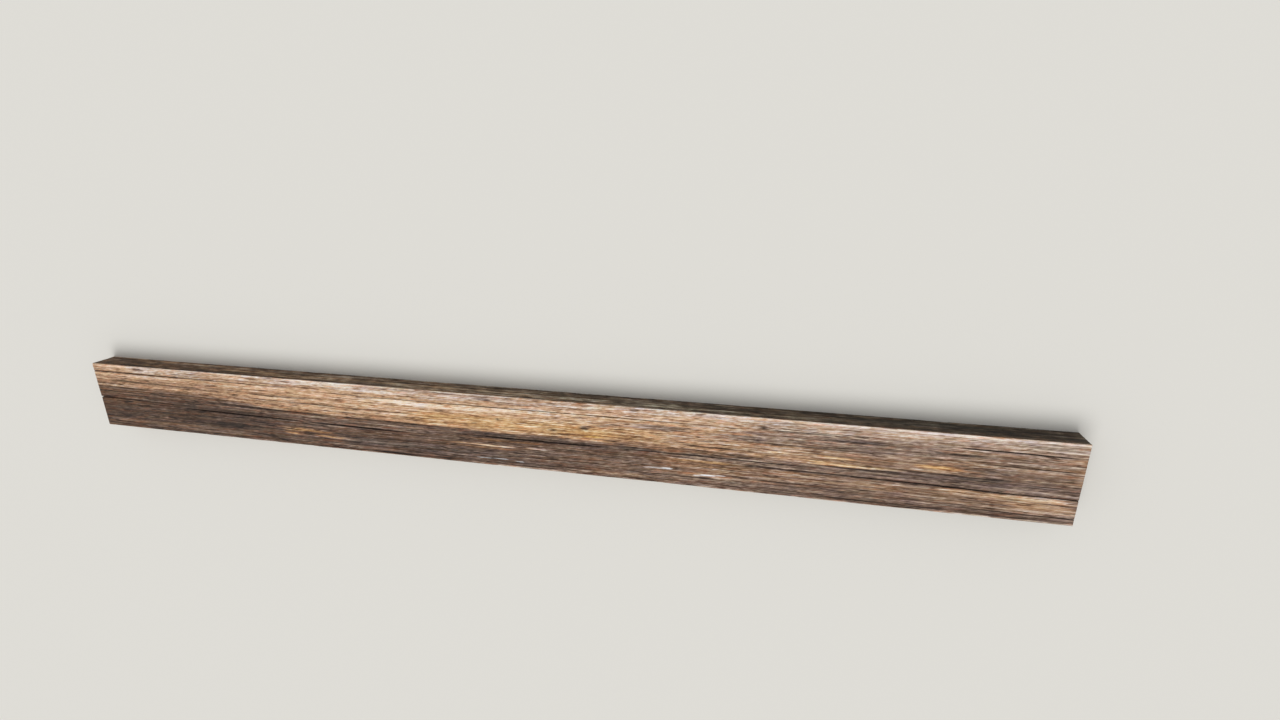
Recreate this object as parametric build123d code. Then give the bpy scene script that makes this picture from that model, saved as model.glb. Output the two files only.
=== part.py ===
from build123d import *
import os
from math import pi, sin
from typing import NamedTuple

# A plank sawn in one piece from a softwood log, weathered grey and brown. It lies flat,
# with its wide face up. All sizes are in millimetres. X runs along the grain, Y across
# the wide face, Z through the thickness, and the origin is the middle of the underside.

# The sawn size
length = 2000.0
width = 150.0
thickness = 50.0

# The arrises: the long ones are worn round by weather and handling, and the rim of each
# sawn end is only just broken
arris_radius = 1.5
end_arris_radius = 0.8

# The grain: its lines run off sideways, towards -Y, by grain_run_off from the -X end to
# the +X end, and swing to and fro by grain_swing about that. At swing_start from the -X
# end they cross over, and one whole swing is grain_wave long
grain_run_off = 8.0
grain_swing = 2.5
grain_wave = 1500.0
swing_start = 320.0

# Each cutter stands proud of the face, or of the end, that it opens by this much
overrun = 4.0

# A check stays nearly as wide and deep up to its closed tips: the lower this power, the
# blunter the tips
tip_power = 0.6

# Where the sections of a check's loft stand between its two ends, closer near the tips
loft_stations = [0.06, 0.2, 0.35, 0.5, 0.65, 0.8, 0.94]


class Check(NamedTuple):
    """A drying check: a V-shaped split in the upper face that follows one grain line.

    start and end are where it runs along the plank, from 0 at the -X end to 1 at the +X
    end, and a check that starts at 0 or ends at 1 runs out of the end. line is its grain
    line, from 0 at the +Y arris to 1 at the -Y arris. mouth is its greatest width and
    depth its greatest depth, in millimetres.
    """

    start: float
    end: float
    line: float
    mouth: float
    depth: float


checks = [
    # Under the bleached strip by the +Y arris: from the -X end, and on the next grain line
    Check(start=0.0, end=0.265, line=0.123, mouth=1.5, depth=6.0),
    Check(start=0.285, end=0.72, line=0.148, mouth=1.1, depth=4.0),
    Check(start=0.905, end=0.995, line=0.148, mouth=1.4, depth=5.0),
    # Where the pale wood meets the dark, left of the middle
    Check(start=0.19, end=0.295, line=0.471, mouth=1.3, depth=5.0),
    Check(start=0.31, end=0.405, line=0.471, mouth=1.3, depth=5.0),
    # One grain line in the middle of the face: a split from the -X end, the short wide
    # check right of the middle, and the fine tail that carries it on
    Check(start=0.0, end=0.10, line=0.555, mouth=1.8, depth=14.0),
    Check(start=0.455, end=0.6, line=0.555, mouth=2.8, depth=12.0),
    Check(start=0.605, end=0.785, line=0.555, mouth=1.1, depth=4.0),
    # The two long wide checks, end to end, left of the middle
    Check(start=0.115, end=0.265, line=0.603, mouth=2.8, depth=13.0),
    Check(start=0.274, end=0.385, line=0.603, mouth=2.4, depth=11.0),
    # The split from the +X end
    Check(start=0.735, end=1.0, line=0.62, mouth=2.4, depth=20.0),
    # Fine checks by the -Y arris
    Check(start=0.915, end=1.0, line=0.897, mouth=1.4, depth=9.0),
    Check(start=0.80, end=0.90, line=0.953, mouth=1.2, depth=3.0),
    Check(start=0.275, end=0.405, line=0.968, mouth=1.2, depth=3.0),
]


def sawn_blank():
    """The plank before it dried: its sawn section carried along X, with eased arrises."""
    with BuildPart() as blank:
        with BuildSketch(Plane.YZ.offset(-length / 2)):
            with Locations((0, thickness / 2)):
                RectangleRounded(width, thickness, arris_radius)
        extrude(amount=length)
        ends = blank.faces().filter_by(Axis.X)
        fillet(ends.edges(), end_arris_radius)
    return blank.part


def check_section(x, y, mouth, depth):
    """A V across the plank at x: as wide as mouth at the face, and depth deep below it."""
    top = thickness + overrun
    half = mouth / 2 * (depth + overrun) / depth
    corners = [(x, y - half, top), (x, y, thickness - depth), (x, y + half, top)]
    return Wire.make_polygon(corners, close=True)


def check_fullness(check, t):
    """Share of the full mouth and depth at t along the check, from 0 to 1.

    It tapers to nothing at a closed tip, and is greatest where the check runs out of an end.
    """
    if check.start == 0.0:
        return (1 - t) ** tip_power
    if check.end == 1.0:
        return t**tip_power
    return sin(pi * t) ** tip_power


def grain_y(line, x):
    """Where a grain line lies across the plank at x. The lines at the arrises are straight."""
    along = x + length / 2
    run_off = grain_run_off * along / length
    swing = grain_swing * sin(2 * pi * (along - swing_start) / grain_wave)
    return width / 2 - width * line - (run_off + swing) * sin(pi * line)


def check_cutter(check):
    """The solid that opens one check: V sections lofted along its grain line."""

    def place(t):
        x = -length / 2 + length * (check.start + (check.end - check.start) * t)
        return x, grain_y(check.line, x)

    def section(t, shift=0.0):
        x, y = place(t)
        share = check_fullness(check, t)
        return check_section(x + shift, y, check.mouth * share, check.depth * share)

    def tip(t):
        x, y = place(t)
        return Vertex(x, y, thickness + overrun / 2)

    first = section(0.0, shift=-overrun) if check.start == 0.0 else tip(0.0)
    last = section(1.0, shift=overrun) if check.end == 1.0 else tip(1.0)
    return Solid.make_loft([first, *(section(t) for t in loft_stations), last])


plank = sawn_blank()
for check in checks:
    plank = plank - check_cutter(check)

os.makedirs("parts", exist_ok=True)
export_step(plank, "parts/plank.step")
print("solids", len(plank.solids()), "volume", round(plank.volume), "valid", plank.is_valid)
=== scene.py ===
# %% [markdown]
# # A weathered plank, as a surface that follows its own grain
#
# The object is one length of sawn softwood, 2 m long, that has lain outdoors. The upper face
# is bleached near one arris, warm brown next to it and slate grey beyond, and it has split
# along the grain as it dried. Everything on it runs with the grain: the ridges that the weather
# has left standing, the checks, the streaks of colour. So the lesson has one idea. First the
# grain is laid down as a set of lines, then every vertex, groove and colour is placed on those
# lines, and nothing can slide off the grain.
#
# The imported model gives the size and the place. It is loaded first, as a fixed frame.

# %% The frame
from types import SimpleNamespace
from typing import NamedTuple

import bpy
import numpy as np
from mathutils import Matrix, Vector


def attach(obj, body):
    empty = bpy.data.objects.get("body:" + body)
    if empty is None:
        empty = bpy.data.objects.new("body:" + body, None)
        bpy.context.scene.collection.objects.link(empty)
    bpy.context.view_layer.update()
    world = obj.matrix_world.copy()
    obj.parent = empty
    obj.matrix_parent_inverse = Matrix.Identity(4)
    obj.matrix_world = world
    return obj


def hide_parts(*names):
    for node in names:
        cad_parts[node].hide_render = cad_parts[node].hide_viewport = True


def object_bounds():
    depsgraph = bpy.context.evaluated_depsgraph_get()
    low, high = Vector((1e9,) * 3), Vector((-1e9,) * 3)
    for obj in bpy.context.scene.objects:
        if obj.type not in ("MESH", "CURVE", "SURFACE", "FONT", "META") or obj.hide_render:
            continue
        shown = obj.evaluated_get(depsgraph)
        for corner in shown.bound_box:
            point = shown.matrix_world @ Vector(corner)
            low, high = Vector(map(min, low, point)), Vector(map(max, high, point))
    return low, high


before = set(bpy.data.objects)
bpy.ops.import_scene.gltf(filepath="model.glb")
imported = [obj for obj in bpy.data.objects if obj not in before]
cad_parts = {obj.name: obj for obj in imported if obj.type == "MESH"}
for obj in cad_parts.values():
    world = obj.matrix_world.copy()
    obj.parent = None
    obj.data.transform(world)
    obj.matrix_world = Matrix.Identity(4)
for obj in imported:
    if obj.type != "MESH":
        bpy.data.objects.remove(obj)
cad_low, cad_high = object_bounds()
MM = 0.001
LENGTH, WIDTH, THICKNESS = (cad_high - cad_low) / MM
print(f"plank {LENGTH:.0f} x {WIDTH:.0f} x {THICKNESS:.0f} mm")

# %% [markdown]
# ## One small helper for materials
#
# Every material below is a net of nodes. One function adds a node, sets its properties and
# joins its inputs, so that a finish reads as a list of what it is made of. Colours are written
# as the hex values that a colour picker gives, and turned to linear light here.

# %% Colours and nodes
def linear(hex_code, alpha=1.0):
    """The linear RGBA of an sRGB hex colour, by the sRGB curve, channel by channel."""
    srgb = np.array([int(hex_code[i : i + 2], 16) for i in (1, 3, 5)]) / 255
    light = np.where(srgb <= 0.04045, srgb / 12.92, ((srgb + 0.055) / 1.055) ** 2.4)
    return (*light, alpha)


def add(tree, kind, inputs=(), stops=(), **settings):
    """Adds one node. inputs are values, or what feeds its sockets, by name or in their order.

    A node feeds from the first of its outputs that is in use. stops are the positions and hex
    colours of a ramp, and settings the node's properties.
    """
    made = tree.nodes.new(kind)
    for name, value in settings.items():
        setattr(made, name, value)
    by_socket = inputs if isinstance(inputs, dict) else dict(enumerate(inputs))
    for socket, value in by_socket.items():
        if isinstance(value, bpy.types.Node):
            value = next(output for output in value.outputs if output.enabled)
        if isinstance(value, bpy.types.NodeSocket):
            tree.links.new(value, made.inputs[socket])
        else:
            made.inputs[socket].default_value = value
    for index, (position, hex_code) in enumerate(stops):
        points = made.color_ramp.elements
        point = points[index] if index < 2 else points.new(position)
        point.position = position
        point.color = linear(hex_code)
    return made


print(f"half grey, #808080, is {linear('#808080')[0]:.3f} in linear light")

# %% [markdown]
# ## The grain
#
# In the real plank the saw ran nearly along the grain, but not quite: the grain lines drift a
# few millimetres towards one side over the length, and swing a little. Each line is named by
# where it would lie across the face if the grain were straight, from 0 at one arris to 1 at the
# other. The lines at the arrises stay put, so the outline stays the sawn one.

# %% Grain lines
GRAIN_RUN_OFF, GRAIN_SWING = 8.0, 2.5
GRAIN_WAVE, SWING_START = 1500.0, 320.0
TABLE = 256
PASSES = 6


def soft_noise(along, across, seed):
    """Value noise from 0 to 1: random numbers at whole steps, joined by smooth curves.

    The curve between two steps is 3t^2 - 2t^3 in each direction, which has no kinks.
    """
    table = np.random.default_rng(seed).random((TABLE, TABLE))
    i, j = np.floor(along).astype(int), np.floor(across).astype(int)
    s, t = along - i, across - j
    s, t = s * s * (3 - 2 * s), t * t * (3 - 2 * t)
    i, j, i1, j1 = i % TABLE, j % TABLE, (i + 1) % TABLE, (j + 1) % TABLE
    near = table[i, j] * (1 - s) + table[i1, j] * s
    far = table[i, j1] * (1 - s) + table[i1, j1] * s
    return near * (1 - t) + far * t


def grain_shift(line, along):
    """How far a grain line has moved across the face, in mm: drift and swing, 0 at both arrises."""
    drift = GRAIN_RUN_OFF * along / LENGTH
    swing = GRAIN_SWING * np.sin(2 * np.pi * (along - SWING_START) / GRAIN_WAVE)
    return (drift + swing) * np.sin(np.pi * line)


def line_under(along, across):
    """The grain line through a place on the face: the shift is taken off, again and again."""
    line = across / WIDTH
    for _ in range(PASSES):
        line = (across - grain_shift(line, along)) / WIDTH
    return line


print(f"the middle line has moved {grain_shift(0.5, LENGTH):.1f} mm at the right end")

# %% [markdown]
# ## Checks and cracks
#
# Timber shrinks across the grain as it dries, and the face splits: a long thin wound, widest in
# the middle, closed at both tips, or running out of the end. The large ones are in the frame's
# model too, and are repeated here with the same values. The fine cracks are only here. Places
# are in millimetres from the left end and from the far arris, as measured on the photograph.
# The far side is +Y, the upper one in the photograph, and the near side is -Y.

# %% The splits in the face
class Split(NamedTuple):
    """A crack along one grain line: where it runs, in mm, its greatest width and depth.

    dark is how strong the painted shade in and beside it is, from 0 to 1.
    """

    start: float
    end: float
    line: float
    mouth: float
    depth: float
    dark: float = 1.0


# Start and end as shares of the length, grain line, mouth, depth, and dark of the painted shade
CHECKS = [
    Split(start * LENGTH, end * LENGTH, *rest)
    for start, end, *rest in (
        (0.0, 0.265, 0.123, 1.5, 6.0, 0.9), (0.285, 0.72, 0.148, 1.1, 4.0, 0.75),
        (0.905, 0.995, 0.148, 1.4, 5.0), (0.19, 0.295, 0.471, 1.3, 5.0),
        (0.31, 0.405, 0.471, 1.3, 5.0), (0.0, 0.10, 0.555, 1.8, 14.0, 0.1),
        (0.455, 0.6, 0.555, 2.8, 12.0), (0.605, 0.785, 0.555, 1.1, 4.0),
        (0.115, 0.265, 0.603, 2.8, 13.0), (0.274, 0.385, 0.603, 2.4, 11.0),
        (0.735, 1.0, 0.62, 2.4, 20.0), (0.915, 1.0, 0.897, 1.4, 9.0),
        (0.80, 0.90, 0.953, 1.2, 3.0), (0.275, 0.405, 0.968, 1.2, 3.0),
    )
]


def crack(start, end, across, mouth=0.9, depth=1.6):
    """A fine crack, given by where its middle lies across the face."""
    return Split(start, end, line_under((start + end) / 2, across), mouth, depth)


CRACKS = [
    crack(*row)
    for row in (
        (20, 150, 53.5), (0, 135, 64.5), (40, 290, 38.5), (400, 800, 53.5), (410, 560, 42.0),
        (1350, 1445, 67.5, 1.1), (1460, 1690, 48.7), (1500, 1605, 22.5, 1.2),
        (1590, 1700, 31.5, 1.0), (1768, 1850, 37.5, 1.2), (1845, 1990, 51.5),
        (1590, 1900, 76.5), (240, 330, 121.0, 1.2), (1230, 1420, 131.0),
        (1440, 1640, 123.5), (920, 1160, 139.0),
    )
]
print(f"{len(CHECKS)} checks and {len(CRACKS)} fine cracks")

# %% How open a split is along its length
TIP_POWER = 0.6


def split_share(split, along):
    """Share of a split's full size along the plank: a half sine to a power, blunt at its tips.

    Where it runs out of an end it is a plain power of the distance from its one tip.
    """
    t = (along - split.start) / (split.end - split.start)
    inside = (t >= 0) & (t <= 1)
    t = np.clip(t, 0, 1)
    if split.start == 0:
        share = 1 - t
    elif split.end == LENGTH:
        share = t
    else:
        share = np.sin(np.pi * t)
    return np.where(inside, np.clip(share, 0, 1) ** TIP_POWER, 0.0)


longest = max(CHECKS, key=lambda split: split.end - split.start)
print(f"the longest check, {longest.end - longest.start:.0f} mm, opens {longest.mouth} mm")

# %% [markdown]
# A knot is the foot of a branch that the trunk grew round. On this face the knots are small
# dark eyes, longer along the grain than across it. Each is kept as a centre and two sizes, and
# a bell over them later gives both its hollow and its colour.

# %% Knots
class Knot(NamedTuple):
    """A small knot or eye, in mm: its centre, its length along the grain, width, darkness."""

    along: float
    across: float
    length: float
    width: float
    dark: float


KNOTS = [
    Knot(*row)
    for row in (
        (112, 7.5, 26, 5.0, 0.25), (146, 39, 14, 3.0, 0.2), (745, 37.5, 30, 5.5, 0.35),
        (848, 41, 14, 3.0, 0.7), (926, 61, 12, 3.0, 0.7), (977, 48.7, 10, 3.4, 0.9),
        (1090, 61, 18, 4.5, 0.95), (1094, 36, 16, 3.0, 0.5), (1154, 51.5, 14, 5.0, 1.0),
        (1487, 19.5, 16, 5.0, 1.0), (1669, 75, 10, 3.6, 0.9), (1803, 66, 12, 4.0, 0.6),
        (1467, 96.5, 18, 5.0, 0.9), (1331, 116, 14, 5.0, 1.0), (640, 74.5, 9, 2.6, 0.6),
    )
]
print(f"{len(KNOTS)} knots, the longest {max(knot.length for knot in KNOTS)} mm")

# %% [markdown]
# ## The net of vertices
#
# The skin is one closed surface: a profile carried along the plank. Two lists decide how fine
# it is. Along the plank the stations are evenly spaced, with a few more at the broken rim of
# each end. Across the upper face the lines are evenly spaced too, but wherever the face is
# split five lines replace them, or three at a fine crack: the two lips, the walls and the
# bottom. The underside has every third line, because it is seen less.

# %% Stations along, lines across
ARRIS, END_ARRIS = 1.5, 0.8
STATION_STEP, LINE_STEP, UNDER_EVERY = 6.0, 1.6, 3
FIRST_STATION = 4.0
WIDE_MOUTH, CLEARANCE = 1.0, 0.35
SPLIT_LINES = np.array([-0.5, -0.23, 0.0, 0.23, 0.5])

rim = END_ARRIS * np.array([0.0, 0.12, 0.45, 1.0])
middle = np.linspace(FIRST_STATION, LENGTH - FIRST_STATION, int(LENGTH / STATION_STEP))
along = np.concatenate([rim, middle, LENGTH - rim[::-1]])


def lines_across():
    """Grain lines of the mesh on the upper face: even ones, and three or five at each split."""
    lines = np.linspace(ARRIS / WIDTH, 1 - ARRIS / WIDTH, int(WIDTH / LINE_STEP))
    widest = {}
    for split in CHECKS + CRACKS:
        widest[split.line] = max(split.mouth, widest.get(split.line, 0.0))
    groups = []
    for line, mouth in widest.items():
        taken = np.abs(lines - line) * WIDTH < 0.5 * mouth + CLEARANCE * LINE_STEP
        taken[[0, -1]] = False
        lines = lines[~taken]
        spread = SPLIT_LINES if mouth > WIDE_MOUTH else SPLIT_LINES[[0, 2, 4]]
        groups.append(line + spread * mouth / WIDTH)
    return np.unique(np.concatenate([lines, *groups]))


top_lines = lines_across()
every_third = np.arange(0, top_lines.size, UNDER_EVERY)
under_lines = top_lines[np.unique(np.append(every_third, top_lines.size - 1))]
print(f"{len(along)} stations, {len(top_lines)} lines on the face, {len(under_lines)} under it")

# %% [markdown]
# The profile is a rectangle with its four arrises rounded to a quarter circle. Each of its
# points keeps what the later steps need: its place, the way out of the wood, its grain line,
# and how far round the plank it is, which is what the relief is made from. A pattern made from
# that girth runs over the arrises without a seam.

# %% The profile, once round the plank
ARC = np.radians([22.5, 45.0, 67.5])
SIDE_HEIGHTS = np.linspace(THICKNESS - ARRIS, ARRIS, 15)
TOP, NEAR, UNDER, FAR = range(4)


def side_down(sign):
    """One long edge from the face to the underside: quarter circle, flat, quarter circle.

    Gives y, z and the outward normal of each point, in mm, for y = sign x half the width.
    """
    half = WIDTH / 2 - ARRIS
    upper = np.stack([half + ARRIS * np.sin(ARC), THICKNESS - ARRIS + ARRIS * np.cos(ARC)])
    flat = np.stack([np.full(SIDE_HEIGHTS.size, WIDTH / 2), SIDE_HEIGHTS])
    lower = np.stack([upper[0, ::-1], THICKNESS - upper[1, ::-1]])
    upper_out = np.stack([np.sin(ARC), np.cos(ARC)])
    flat_out = np.stack([np.ones(SIDE_HEIGHTS.size), np.zeros(SIDE_HEIGHTS.size)])
    lower_out = np.stack([upper_out[0, ::-1], -upper_out[1, ::-1]])
    y, z = np.concatenate([upper, flat, lower], axis=1)
    out_y, out_z = np.concatenate([upper_out, flat_out, lower_out], axis=1)
    return sign * y, z, sign * out_y, out_z


def flat_face(lines, height, out_z):
    """The flat of the face or the underside: a point for each grain line."""
    return WIDTH / 2 - WIDTH * lines, np.full(lines.size, height), np.zeros(lines.size), out_z


parts = [
    flat_face(top_lines, THICKNESS, np.ones(top_lines.size)),
    side_down(-1),
    flat_face(under_lines[::-1], 0.0, -np.ones(under_lines.size)),
    [values[::-1] for values in side_down(1)],
]
flat_y, flat_z, out_y, out_z = (np.concatenate(values) for values in zip(*parts))
face = np.repeat([TOP, NEAR, UNDER, FAR], [len(part[0]) for part in parts])
line = np.where(np.isin(face, (TOP, UNDER)), 0.5 - flat_y / WIDTH, np.where(face == NEAR, 1.0, 0.0))
steps = np.hypot(np.diff(flat_y, append=flat_y[:1]), np.diff(flat_z, append=flat_z[:1]))
girth = np.cumsum(steps) - steps
AROUND = steps.sum()
print(f"{len(girth)} points round the section, {AROUND:.0f} mm in all")

# %% [markdown]
# Now the net is a table with a row for each station and a column for each point of the profile.
# The lines of the two wide faces move with the grain. They also step aside round each knot, as
# the wood did when it grew round a branch, and waver by a fraction of a millimetre.

# %% Where each vertex lies before any relief
S, G = np.meshgrid(along, girth, indexing="ij")
L = np.broadcast_to(line, S.shape)
on_top = np.broadcast_to(face == TOP, S.shape)
on_under = np.broadcast_to(face == UNDER, S.shape)
V = L * WIDTH

# How far the lines waver, in mm, in cells how long and how wide, and the seed
WAVERS = ((0.9, 90, 11, 11), (0.4, 34, 5, 12))
ROUND_KNOT, KNOT_REACH, PINNED_EDGE = 0.55, 1.4, 0.05


def smooth_step(low, high, value):
    """0 below low, 1 above high and 3t^2 - 2t^3 between them."""
    t = np.clip((value - low) / (high - low), 0, 1)
    return t * t * (3 - 2 * t)


def knot_share(knot, wide=1.0):
    """A bell over a knot: 1 at its centre, e^-1 at its rim, in both directions."""
    centre = line_under(knot.along, knot.across) * WIDTH
    far_along = (S - knot.along) / (knot.length / 2 * wide)
    far_across = (V - centre) / (knot.width / 2 * wide)
    return np.exp(-(far_along**2) - far_across**2), far_across


def aside():
    """How far the lines waver and step round the knots, in mm, 0 at the arrises."""
    waver = sum(
        most * (soft_noise(S / length, G / width, seed) - 0.5)
        for most, length, width, seed in WAVERS
    )
    for knot in KNOTS:
        share, far_across = knot_share(knot, KNOT_REACH)
        step = ROUND_KNOT * knot.width / 2 * share * far_across
        waver = waver + np.where(on_top, step, 0.0)
    return waver * smooth_step(0.0, PINNED_EDGE, np.minimum(L, 1 - L))


moved = np.where(on_top | on_under, grain_shift(L, S) + aside(), 0.0)
X = S - LENGTH / 2
Y = flat_y - moved
Z = np.broadcast_to(flat_z, S.shape)
print(f"the grain moves the lines {moved.min():.1f} to {moved.max():.1f} mm")

# %% [markdown]
# ## Growth rings
#
# The plank was cut from beside the heart of the log, so the rings cross its section as arcs
# about a pith that lies outside it, below and to one side. A vertex's ring is its distance from
# that pith in ring widths. Spring wood is soft and weathers away, the dark band of summer wood
# that ends each ring is left standing: one wave of relief for each ring.

# %% Ring number of every vertex
PITH_Y, PITH_Z = -155.0, -58.0
RING_WIDTH = 3.3
GOOD_YEARS, YEARS_APART = 1.3, 13
WANDER, WANDER_ALONG, WANDER_OUT = 1.1, 420, 60
SPRING_POWER = 1.5


def ring_number(s, y, z):
    """Distance from the pith in rings. Some years were good, and the heart wanders a little."""
    radius = np.hypot(y - PITH_Y, z - PITH_Z)
    years = GOOD_YEARS * soft_noise(np.zeros_like(radius), radius / YEARS_APART, 21)
    wander = WANDER * soft_noise(s / WANDER_ALONG, radius / WANDER_OUT, 22)
    return radius / RING_WIDTH + years + wander


def spring(rings):
    """Share of soft spring wood: 0 at each whole ring, 1 half way, on a narrowed cosine."""
    return (0.5 - 0.5 * np.cos(2 * np.pi * rings)) ** SPRING_POWER


grain_y = np.where(on_top | on_under, WIDTH / 2 - V, flat_y)
ring = ring_number(S, grain_y, Z)
print(f"rings {ring.min():.0f} to {ring.max():.0f} from the pith")

# %% [markdown]
# ## Relief
#
# Everything is carved inwards from the sawn surface, so the plank never grows past its size.
# Broad hollows and fine ripples along the grain, the rings, the knots and the wear of the
# arrises add up, and a split goes deeper than any of them. The ripples are noise in cells that
# are long along the grain. A split is a V: its depth falls evenly from the bottom to the lips.

# %% Ripples round the plank
CELLS = {width: int(round(AROUND / width)) for width in (26, 8, 3.6)}


def ripple(length, width, seed):
    """Noise stretched along the grain: cells length mm long and width mm round the plank."""
    turns = CELLS[width]
    across = G / AROUND * turns
    here = soft_noise(S / length, across, seed)
    wrapped = soft_noise(S / length, across - turns, seed)
    blend = smooth_step(turns - 1, turns, across)
    return here * (1 - blend) + wrapped * blend


def ripples(rows, start=0.0, middle=0.5):
    """start plus every ripple about its middle. A row is its size and its cell and seed."""
    return sum((size * (ripple(*cell) - middle) for size, *cell in rows), start)


print("cells round the plank, by their width:", CELLS)

# %% The splits and the worn arrises
# Painted shade of the narrowest split, width of a fully shaded one, and how fast its tips turn dark
NARROW_DARK, DARK_MOUTH, TIP_DARK = 0.35, 3.2, 2.2
LEAST_DARK, MORE_DARK, DARK_STRETCH = 0.65, 0.6, 26
SEEN_HALF, SEEN_REACH = 1.3, 1.25
WEAR_LEAST, WEAR_MOST, WEAR_REACH = 0.04, 0.75, 2.5
WORN_STRETCH, WORN_FROM, CHIP = 38, (0.45, 0.95), 9
CORNERS = np.cumsum([0.0, WIDTH, THICKNESS, WIDTH, THICKNESS])
ARRISES = CORNERS / CORNERS[-1] * AROUND


def split_depth():
    """Depth of the splits, and the painted shade that darkens each vertex in and beside them: the
    deepest V wins.
    """
    depth, shade = np.zeros(S.shape), np.zeros(S.shape)
    for number, split in enumerate(CHECKS + CRACKS):
        share = split_share(split, S)
        off = np.abs(V - split.line * WIDTH)
        half = np.maximum(split.mouth / 2 * share, 1e-6)
        depth = np.maximum(depth, split.depth * share * np.clip(1 - off / half, 0, 1))
        # The painted shade of this split, which comes and goes along it and fades beside it
        comes_and_goes = soft_noise(S / DARK_STRETCH, 0 * S + number, 27)
        strength = np.clip(NARROW_DARK + split.mouth / DARK_MOUTH, 0, 1)
        strength = strength * np.clip(TIP_DARK * share, 0, 1)
        strength = strength * split.dark * (LEAST_DARK + MORE_DARK * comes_and_goes)
        reach = np.clip(SEEN_REACH - off / np.maximum(half, SEEN_HALF), 0, 1)
        shade = np.maximum(shade, np.clip(strength, 0, 1) * reach)
    return np.where(on_top, depth, 0.0), np.where(on_top, shade, 0.0)


def arris_wear():
    """Wood lost along the four arrises: a bell across each, in short stretches."""
    wear = np.zeros(S.shape)
    for number, corner in enumerate(ARRISES):
        seed = 31 + number % 4
        bell = np.exp(-(((G - corner) / WEAR_REACH) ** 2))
        worn = smooth_step(*WORN_FROM, soft_noise(S / WORN_STRETCH, np.zeros_like(S), seed))
        chips = soft_noise(S / CHIP, np.zeros_like(S), seed + 10)
        wear = np.maximum(wear, (WEAR_LEAST + WEAR_MOST * worn * chips) * bell)
    return wear


# The second result is the painted shade in and beside the splits
groove, painted_split_shade = split_depth()
arris_loss = arris_wear()
print(f"splits up to {groove.max():.0f} mm deep, arrises worn by up to {arris_loss.max():.2f} mm")

# %% Carving the surface
# Height in mm, length and width of a cell, seed
HOLLOWS = ((0.35, 420, 26, 41), (0.3, 170, 8, 42), (0.22, 70, 3.6, 43))
RING_RELIEF, RING_FAINT, RING_STRONG = 0.24, 0.4, 1.2
AT_ARRIS, ARRIS_REACH = 0.3, 12
KNOT_HOLLOW = 0.6

knot_dark = np.zeros(S.shape)
for knot in KNOTS:
    knot_dark = np.maximum(knot_dark, np.where(on_top, knot.dark * knot_share(knot)[0], 0.0))
strength = RING_FAINT + RING_STRONG * ripple(420, 26, 44)
carved = ripples(HOLLOWS, middle=0.0) + RING_RELIEF * spring(ring) * strength
from_arris = np.abs(G[..., None] - ARRISES).min(axis=-1)
held = AT_ARRIS + (1 - AT_ARRIS) * smooth_step(0, ARRIS_REACH, from_arris)
carved = (carved - carved.min()) * held + arris_loss + KNOT_HOLLOW * knot_dark
carved = np.maximum(carved, groove)
to_end = np.minimum(S, LENGTH - S)
short_of_arc = np.clip(END_ARRIS - to_end, 0, END_ARRIS)
rim_inset = END_ARRIS - np.sqrt(END_ARRIS**2 - short_of_arc**2)
inset = carved + rim_inset
Y = Y - out_y * inset
Z = Z - out_z * inset
print(f"relief {carved.min():.2f} to {carved.max():.2f} mm")

# %% [markdown]
# ## The sawn ends
#
# An end is a flat net that spans the last row of the skin. Its points are blended from the four
# sides of that outline (a Coons patch: the sum of the two straight blends, top to bottom and
# side to side, less the blend of the corners). Where a split runs out of the end the outline
# dips into the wood, and the net dips with it, so the notch is really open.

# %% End nets
columns = [np.flatnonzero(face == part) for part in (TOP, NEAR, UNDER, FAR)]
under_steps = np.searchsorted(top_lines, under_lines)
ROWS = len(columns[NEAR])


def end_net(row):
    """Places of one end's net, rows from the face to the underside, columns from far to near."""
    outline = np.stack([Y[row], Z[row]])
    top, near, under, far = (outline[:, part] for part in columns)
    under, far = under[:, ::-1], far[:, ::-1]
    bottom = np.stack([np.interp(top_lines, under_lines, values) for values in under])
    left = np.concatenate([top[:, :1], far, bottom[:, :1]], axis=1)
    right = np.concatenate([top[:, -1:], near, bottom[:, -1:]], axis=1)
    down = ((THICKNESS - left[1]) / THICKNESS)[None, :, None]
    down = (down - down[:, :1]) / (down[:, -1:] - down[:, :1])
    over = ((top_lines - top_lines[0]) / (top_lines[-1] - top_lines[0]))[None, None, :]
    between = (1 - down) * top[:, None, :] + down * bottom[:, None, :]
    across = (1 - over) * left[:, :, None] + over * right[:, :, None]
    first = (1 - over) * left[:, :1, None] + over * right[:, :1, None]
    last = (1 - over) * left[:, -1:, None] + over * right[:, -1:, None]
    return between + across - (1 - down) * first - down * last


print(f"an end's net has {ROWS + 2} rows of {top_lines.size} points, its outline included")

# %% [markdown]
# The saw crossed the grain here, so the ends are rougher than the faces. Soft spring wood has
# worn back between the rings, and the teeth left faint lines that lean a little.

# %% The rough of the ends
END_RINGS, END_SAW, END_ROUGH = 0.45, 0.2, 0.35
SAW_PITCH, SAW_REACH, SAW_LEAN, ROUGH_CELL = 2.6, 40, 0.25, 5
RIM_FALL, AWAY = (0.3, 3.0), 200


def end_relief(y, z):
    """How far the end is worn back: rings, saw marks and the fall to nothing at its rim."""
    saw = soft_noise((y + SAW_LEAN * z + AWAY) / SAW_PITCH, z / SAW_REACH, 51)
    rough = soft_noise((y + AWAY) / ROUGH_CELL, z / ROUGH_CELL, 52)
    to_rim = np.minimum(WIDTH / 2 - np.abs(y), np.minimum(z, THICKNESS - z))
    worn = END_RINGS * spring(ring_number(np.zeros_like(y), y, z)) + END_SAW * saw
    return (worn + END_ROUGH * rough) * smooth_step(*RIM_FALL, to_rim)


ends = []
for row, sign in ((0, -1.0), (-1, 1.0)):
    net_y, net_z = end_net(row)[:, 1 : ROWS + 1, 1:-1]
    ends.append((sign * (LENGTH / 2 - end_relief(net_y, net_z)), net_y, net_z))
print(f"each end: {ends[0][0].size} points inside its outline")

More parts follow.
